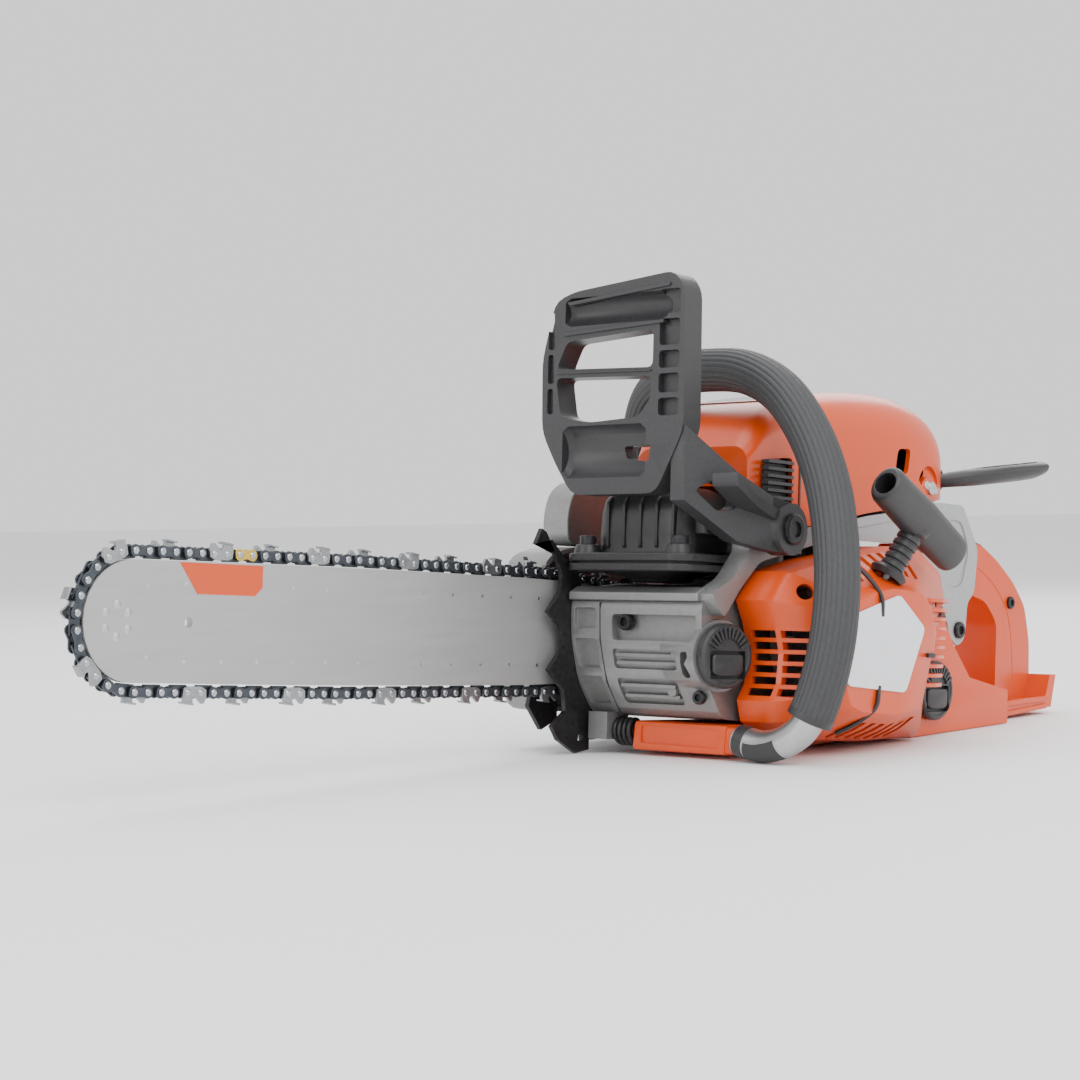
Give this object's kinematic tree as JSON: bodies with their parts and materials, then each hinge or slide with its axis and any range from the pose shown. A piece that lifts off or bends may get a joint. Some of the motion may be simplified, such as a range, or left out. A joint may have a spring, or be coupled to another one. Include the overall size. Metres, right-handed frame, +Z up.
{
  "type": "chainsaw",
  "caption": "Petrol chainsaw with bar and chain, wrap-round front handle, rear handle, hinged hand guard and pull starter.",
  "frame": {"origin": "centre of the bounding box, on the surface that the saw stands on", "axes": "+X towards the rear handle, -X towards the bar's nose, +Y towards the clutch side, +Z up"},
  "size_m": [0.7574, 0.2412, 0.2773],
  "materials": {
    "orange_plastic": "glossy orange moulded plastic",
    "cast_magnesium": "silver-grey painted casting, satin",
    "steel": "ground steel",
    "dark_steel": "blackened steel",
    "bare_aluminium": "satin bare metal",
    "black_metal": "matt black heat-proof paint",
    "dark_plastic": "dark grey moulded plastic, fine grain",
    "handle_rubber": "dark grey ribbed rubber",
    "pale_plastic": "pale grey satin plastic",
    "brass": "brass-coloured metal"
  },
  "bodies": {
    "root": {"air_filter": "black_metal", "av_screw": "dark_steel", "av_spring_front": "dark_steel", "av_spring_rear": "dark_steel", "bar_nut_front": "dark_steel", "bar_nut_rear": "dark_steel", "bar_stud_front": "steel", "bar_stud_rear": "steel", "brake_band": "dark_steel", "brake_housing": "cast_magnesium", "bumper_inner": "dark_steel", "bumper_outer": "dark_steel", "carburettor": "bare_aluminium", "chain_catcher": "pale_plastic", "chain_tensioner": "steel", "clutch_cover": "cast_magnesium", "crankcase_left": "cast_magnesium", "crankcase_right": "cast_magnesium", "cylinder": "cast_magnesium", "cylinder_cover": "orange_plastic", "front_handle": "bare_aluminium", "guard_pivot_screw": "dark_steel", "guide_bar": "steel", "handle_grip": "handle_rubber", "ignition_module": "black_metal", "intake_boot": "handle_rubber", "muffler": "black_metal", "muffler_bolt_left": "dark_steel", "muffler_bolt_right": "dark_steel", "oil_pump": "brass", "piston": "bare_aluminium", "rear_handle_screw": "dark_steel", "recoil_spring_case": "dark_plastic", "saw_chain": "dark_steel", "side_panel": "pale_plastic", "side_plate": "pale_plastic", "spark_plug": "pale_plastic", "spark_plug_cap": "handle_rubber", "starter_cover": "orange_plastic", "starter_rope": "pale_plastic", "tank_unit": "orange_plastic"},
    "crank": {"crankshaft": "steel", "flywheel": "cast_magnesium", "flywheel_nut": "dark_steel", "clutch_hub": "dark_steel"},
    "rod": {"connecting_rod": "steel", "wrist_pin": "bare_aluminium"},
    "drum": {"clutch_drum": "steel", "rim_sprocket": "steel"},
    "nose": {"nose_sprocket": "dark_steel"},
    "guard": {"hand_guard": "dark_plastic"},
    "trigger": {"throttle_trigger": "dark_plastic"},
    "lockout": {"throttle_lockout": "dark_plastic"},
    "lever": {"stop_lever": "dark_plastic"},
    "starter_grip": {"starter_handle": "dark_plastic"},
    "pulley": {"starter_pulley": "dark_plastic"},
    "oil_cap": {"oil_cap": "dark_plastic"},
    "oil_tab": {"oil_cap_tab": "dark_plastic"},
    "fuel_cap": {"fuel_cap": "dark_plastic"},
    "fuel_tab": {"fuel_cap_tab": "dark_plastic"}
  },
  "joints": [
    {"name": "crank_spin", "type": "hinge", "parent": "root", "child": "crank", "pos_m": [0.08263, 0.07061, 0.06476], "axis": [0, 1, 0], "continuous": true},
    {"name": "rod_swing", "type": "hinge", "parent": "crank", "child": "rod", "pos_m": [0.08329, 0.01061, 0.07474], "axis": [0, 1, 0], "continuous": true},
    {"name": "drum_spin", "type": "hinge", "parent": "root", "child": "drum", "pos_m": [0.08263, 0.07061, 0.06476], "axis": [0, 1, 0], "continuous": true},
    {"name": "nose_sprocket_spin", "type": "hinge", "parent": "root", "child": "nose", "pos_m": [-0.33746, 0.07061, 0.09248], "axis": [0, 1, 0], "continuous": true},
    {"name": "hand_guard_tilt", "type": "hinge", "parent": "root", "child": "guard", "pos_m": [0.03283, -0.06039, 0.13018], "axis": [0, -1, 0], "range_deg": [0, 22]},
    {"name": "throttle_trigger_pull", "type": "hinge", "parent": "root", "child": "trigger", "pos_m": [0.2676, -0.00939, 0.08863], "axis": [0, -1, 0], "range_deg": [0, 14], "stiffness_Nm_per_rad": 0.25, "springref_deg": -17.19},
    {"name": "throttle_lockout_press", "type": "hinge", "parent": "root", "child": "lockout", "pos_m": [0.292, -0.00939, 0.10907], "axis": [0, 1, 0], "range_deg": [0, 8], "stiffness_Nm_per_rad": 0.25, "springref_deg": -17.19},
    {"name": "stop_lever_tilt", "type": "hinge", "parent": "root", "child": "lever", "pos_m": [0.25824, -0.01939, 0.1594], "axis": [0, -1, 0], "range_deg": [-10, 35]},
    {"name": "starter_pull", "type": "slide", "parent": "root", "child": "starter_grip", "axis": [0.4703, -0.2997, 0.83], "range_m": [0, 0.8], "stiffness_N_per_m": 6, "springref_m": -1},
    {"name": "starter_pulley_spin", "type": "hinge", "parent": "root", "child": "pulley", "pos_m": [0.08263, 0.07061, 0.06476], "axis": [0, 1, 0], "range_deg": [0, 2700]},
    {"name": "oil_cap_turn", "type": "hinge", "parent": "root", "child": "oil_cap", "pos_m": [-0.00391, -0.04139, 0.05945], "axis": [-0.2196, -0.9755, 0.0145], "range_deg": [0, 90]},
    {"name": "oil_cap_tab_flip", "type": "hinge", "parent": "oil_cap", "child": "oil_tab", "pos_m": [-0.00498, -0.04646, 0.06052], "axis": [-0.9734, 0.2201, 0.0642], "range_deg": [0, 90]},
    {"name": "fuel_cap_turn", "type": "hinge", "parent": "root", "child": "fuel_cap", "pos_m": [0.18942, -0.05769, 0.02765], "axis": [0, -1, 0], "range_deg": [0, 90]},
    {"name": "fuel_cap_tab_flip", "type": "hinge", "parent": "fuel_cap", "child": "fuel_tab", "pos_m": [0.18948, -0.06289, 0.02864], "axis": [-0.9978, 0, 0.0659], "range_deg": [0, 90]}
  ],
  "couplings": [
    {"joint": "rod_swing", "follows": "crank_spin", "ratio": -1},
    {"joint": "nose_sprocket_spin", "follows": "drum_spin", "ratio": 0.7},
    {"joint": "starter_pulley_spin", "follows": "starter_pull", "rad_per_m": 57}
  ]
}
